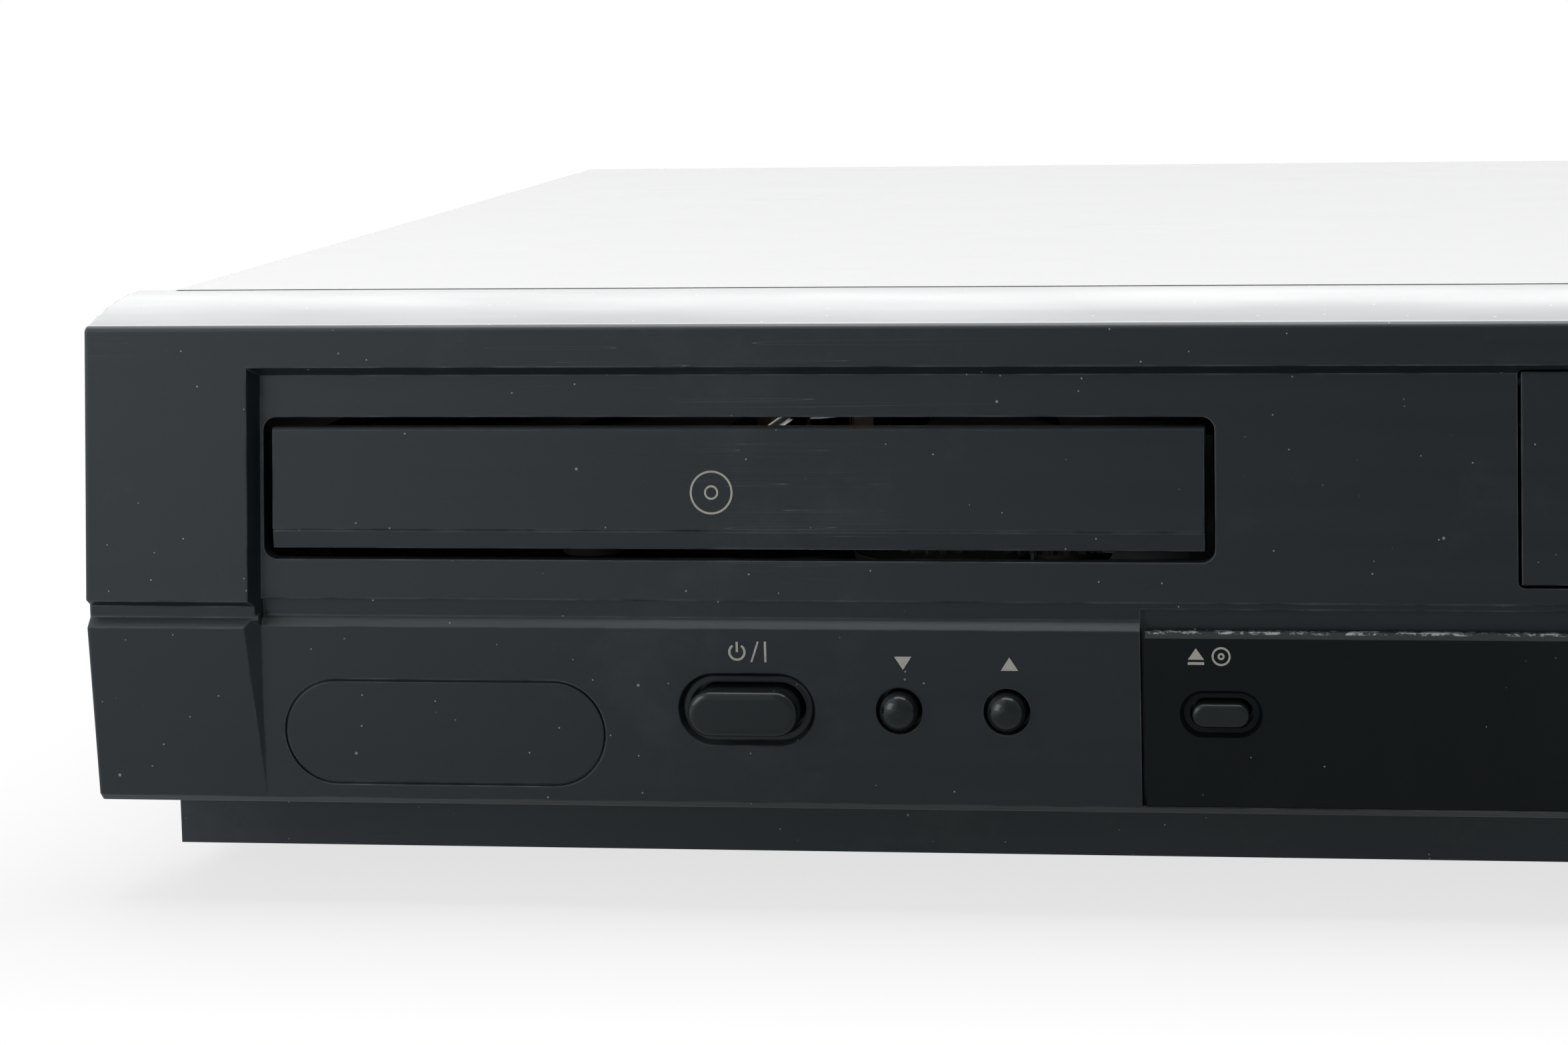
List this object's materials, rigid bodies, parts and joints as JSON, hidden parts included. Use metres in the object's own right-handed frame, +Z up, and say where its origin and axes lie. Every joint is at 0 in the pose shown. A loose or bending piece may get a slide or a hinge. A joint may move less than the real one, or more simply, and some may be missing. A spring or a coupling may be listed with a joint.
{
  "type": "disc and cassette player",
  "caption": "Black disc player and cassette recorder in one cabinet: disc tray on the left, sprung cassette door on the right, buttons and display window below.",
  "frame": {"origin": "under the middle of the cabinet, on the surface the feet stand on", "axes": "+X to the right seen from the front, +Z up; the front faces -Y"},
  "size_m": [0.435, 0.291, 0.0916],
  "materials": {
    "painted_steel": "satin black",
    "front_plastic": "satin anthracite",
    "base_plastic": "fine grain black",
    "zinc_steel": "zinc plated",
    "rubber": "matt",
    "screw_steel": "blackened",
    "smoked_window": "smoked, glossy",
    "circuit_board": "solder resist",
    "socket_plastic": "moulded",
    "tin_can": "tinned",
    "loader_plastic": "moulded",
    "tray_plastic": "fine grain",
    "gear_plastic": "acetal",
    "motor_steel": "rolled",
    "rod_steel": "ground",
    "lens_glass": "clear",
    "drum_aluminium": "turned",
    "spring_steel": "drawn",
    "button_plastic": "satin",
    "reel_plastic": "moulded"
  },
  "bodies": {
    "cabinet": {"top_cover": "painted_steel", "front_bezel": "front_plastic", "chassis_base": "base_plastic", "rear_panel": "zinc_steel", "rubber_feet": "rubber", "cover_screws": "screw_steel", "badge_plate": "front_plastic", "display_window": "smoked_window", "control_board": "circuit_board", "main_board": "circuit_board", "power_board": "circuit_board", "tuner_module": "tin_can", "scart_sockets": "socket_plastic", "rear_av_sockets": "socket_plastic", "mains_inlet": "socket_plastic", "front_av_sockets": "socket_plastic", "loader_frame": "loader_plastic", "clamp_bridge": "zinc_steel", "loading_motor": "motor_steel", "drive_belt": "rubber", "deck_chassis": "zinc_steel", "side_plates": "zinc_steel", "drum_base": "drum_aluminium", "tape_heads": "motor_steel", "door_spring": "spring_steel"},
    "disc_tray": {"disc_tray": "tray_plastic", "tray_flap": "front_plastic"},
    "drive_gear": {"drive_gear": "gear_plastic"},
    "pulley_gear": {"pulley_gear": "gear_plastic"},
    "motor_pulley": {"motor_pulley": "gear_plastic"},
    "clamper": {"clamper": "gear_plastic"},
    "traverse": {"traverse_chassis": "loader_plastic", "guide_rods": "rod_steel", "traverse_motors": "motor_steel"},
    "turntable": {"turntable": "rubber"},
    "pickup_sled": {"pickup_sled": "loader_plastic", "objective_lens": "lens_glass"},
    "feed_gear": {"feed_gear": "gear_plastic"},
    "feed_pinion": {"feed_pinion": "gear_plastic"},
    "cassette_door": {"cassette_door": "front_plastic"},
    "carriage_sliders": {"carriage_sliders": "zinc_steel"},
    "cassette_holder": {"cassette_holder": "zinc_steel"},
    "carriage_gear": {"carriage_gear": "gear_plastic"},
    "head_drum": {"head_drum": "drum_aluminium"},
    "capstan": {"capstan": "rod_steel"},
    "pinch_arm": {"pinch_arm": "zinc_steel"},
    "pinch_roller": {"pinch_roller": "rubber"},
    "supply_reel": {"supply_reel": "reel_plastic"},
    "take_up_reel": {"take_up_reel": "reel_plastic"},
    "left_guide_post": {"left_guide_post": "rod_steel"},
    "right_guide_post": {"right_guide_post": "rod_steel"},
    "power_button": {"power_button": "button_plastic"},
    "program_down_button": {"program_down_button": "button_plastic"},
    "program_up_button": {"program_up_button": "button_plastic"},
    "disc_eject_button": {"disc_eject_button": "button_plastic"},
    "tape_eject_button": {"tape_eject_button": "button_plastic"},
    "rewind_button": {"rewind_button": "button_plastic"},
    "stop_button": {"stop_button": "button_plastic"},
    "play_button": {"play_button": "button_plastic"},
    "forward_button": {"forward_button": "button_plastic"}
  },
  "joints": [
    {"name": "tray_slide", "type": "slide", "parent": "cabinet", "child": "disc_tray", "axis": [0, -1, 0], "range_m": [0, 0.136]},
    {"name": "drive_gear_spin", "type": "hinge", "parent": "cabinet", "child": "drive_gear", "pos_m": [-0.074, -0.099, 0.052], "axis": [0, 0, 1], "range_deg": [-651.4, 0]},
    {"name": "pulley_gear_spin", "type": "hinge", "parent": "cabinet", "child": "pulley_gear", "pos_m": [-0.0932, -0.099, 0.048], "axis": [0, 0, 1], "range_deg": [0, 1300.7]},
    {"name": "motor_pulley_spin", "type": "hinge", "parent": "cabinet", "child": "motor_pulley", "pos_m": [-0.15, -0.099, 0.046], "axis": [0, 0, 1], "range_deg": [0, 4511.4]},
    {"name": "clamper_spin", "type": "hinge", "parent": "cabinet", "child": "clamper", "pos_m": [-0.1184, -0.072, 0.07], "axis": [0, 0, 1], "continuous": true},
    {"name": "traverse_tilt", "type": "hinge", "parent": "cabinet", "child": "traverse", "pos_m": [-0.1184, 0.044, 0.047], "axis": [-1, 0, 0], "range_deg": [0, 3.4]},
    {"name": "turntable_spin", "type": "hinge", "parent": "traverse", "child": "turntable", "pos_m": [-0.1184, -0.072, 0.05], "axis": [0, 0, 1], "continuous": true},
    {"name": "sled_slide", "type": "slide", "parent": "traverse", "child": "pickup_sled", "axis": [0, 1, 0], "range_m": [0, 0.036]},
    {"name": "feed_gear_spin", "type": "hinge", "parent": "traverse", "child": "feed_gear", "pos_m": [-0.1576, -0.02, 0.052], "axis": [0, 0, 1], "range_deg": [0, 431.7]},
    {"name": "feed_pinion_spin", "type": "hinge", "parent": "traverse", "child": "feed_pinion", "pos_m": [-0.1744, -0.02, 0.054], "axis": [0, 0, 1], "range_deg": [-1076.3, 0]},
    {"name": "door_hinge", "type": "hinge", "parent": "cabinet", "child": "cassette_door", "pos_m": [0.094, -0.1348, 0.0792], "axis": [1, 0, 0], "range_deg": [0, 95], "stiffness_Nm_per_rad": 0.02, "springref_deg": -34.38},
    {"name": "carriage_slide", "type": "slide", "parent": "cabinet", "child": "carriage_sliders", "axis": [0, 1, 0], "range_m": [0, 0.084]},
    {"name": "holder_drop", "type": "slide", "parent": "carriage_sliders", "child": "cassette_holder", "axis": [0, 0, 1], "range_m": [-0.02, 0], "stiffness_N_per_m": 120, "springref_m": 0.02},
    {"name": "carriage_gear_spin", "type": "hinge", "parent": "cabinet", "child": "carriage_gear", "pos_m": [0.1961, -0.022, 0.0765], "axis": [1, 0, 0], "range_deg": [0, 603.6]},
    {"name": "drum_spin", "type": "hinge", "parent": "cabinet", "child": "head_drum", "pos_m": [0.094, 0.077, 0.03], "axis": [0, 0.0872, 0.9962], "continuous": true},
    {"name": "capstan_spin", "type": "hinge", "parent": "cabinet", "child": "capstan", "pos_m": [0.158, 0.044, 0.02], "axis": [0, 0, 1], "continuous": true},
    {"name": "pinch_arm_hinge", "type": "hinge", "parent": "cabinet", "child": "pinch_arm", "pos_m": [0.176, 0.03, 0.04], "axis": [0, 0, 1], "range_deg": [-30, 0]},
    {"name": "pinch_roller_spin", "type": "hinge", "parent": "pinch_arm", "child": "pinch_roller", "pos_m": [0.1608, 0.0295, 0.048], "axis": [0, 0, 1], "continuous": true},
    {"name": "supply_reel_spin", "type": "hinge", "parent": "cabinet", "child": "supply_reel", "pos_m": [0.048, -0.026, 0.03], "axis": [0, 0, 1], "continuous": true},
    {"name": "take_up_reel_spin", "type": "hinge", "parent": "cabinet", "child": "take_up_reel", "pos_m": [0.14, -0.026, 0.03], "axis": [0, 0, 1], "continuous": true},
    {"name": "left_post_slide", "type": "slide", "parent": "cabinet", "child": "left_guide_post", "axis": [-0.3208, 0.9471, 0], "range_m": [0, 0.06496]},
    {"name": "right_post_slide", "type": "slide", "parent": "cabinet", "child": "right_guide_post", "axis": [0.3208, 0.9471, 0], "range_m": [0, 0.06496]},
    {"name": "power_press", "type": "slide", "parent": "cabinet", "child": "power_button", "axis": [0, 1, 0], "range_m": [0, 0.001], "stiffness_N_per_m": 300, "springref_m": -0.001},
    {"name": "program_down_press", "type": "slide", "parent": "cabinet", "child": "program_down_button", "axis": [0, 1, 0], "range_m": [0, 0.001], "stiffness_N_per_m": 300, "springref_m": -0.001},
    {"name": "program_up_press", "type": "slide", "parent": "cabinet", "child": "program_up_button", "axis": [0, 1, 0], "range_m": [0, 0.001], "stiffness_N_per_m": 300, "springref_m": -0.001},
    {"name": "disc_eject_press", "type": "slide", "parent": "cabinet", "child": "disc_eject_button", "axis": [0, 1, 0], "range_m": [0, 0.001], "stiffness_N_per_m": 300, "springref_m": -0.001},
    {"name": "tape_eject_press", "type": "slide", "parent": "cabinet", "child": "tape_eject_button", "axis": [0, 1, 0], "range_m": [0, 0.001], "stiffness_N_per_m": 300, "springref_m": -0.001},
    {"name": "rewind_press", "type": "slide", "parent": "cabinet", "child": "rewind_button", "axis": [0, 1, 0], "range_m": [0, 0.001], "stiffness_N_per_m": 300, "springref_m": -0.001},
    {"name": "stop_press", "type": "slide", "parent": "cabinet", "child": "stop_button", "axis": [0, 1, 0], "range_m": [0, 0.001], "stiffness_N_per_m": 300, "springref_m": -0.001},
    {"name": "play_press", "type": "slide", "parent": "cabinet", "child": "play_button", "axis": [0, 1, 0], "range_m": [0, 0.001], "stiffness_N_per_m": 300, "springref_m": -0.001},
    {"name": "forward_press", "type": "slide", "parent": "cabinet", "child": "forward_button", "axis": [0, 1, 0], "range_m": [0, 0.001], "stiffness_N_per_m": 300, "springref_m": -0.001}
  ],
  "couplings": [
    {"joint": "drive_gear_spin", "follows": "tray_slide", "rad_per_m": -83.333},
    {"joint": "pulley_gear_spin", "follows": "tray_slide", "rad_per_m": 166.67},
    {"joint": "motor_pulley_spin", "follows": "tray_slide", "rad_per_m": 578.7},
    {"joint": "feed_gear_spin", "follows": "sled_slide", "rad_per_m": 208.33},
    {"joint": "feed_pinion_spin", "follows": "sled_slide", "rad_per_m": -520.83},
    {"joint": "carriage_gear_spin", "follows": "carriage_slide", "rad_per_m": 125},
    {"joint": "right_post_slide", "follows": "left_post_slide", "ratio": 1}
  ]
}
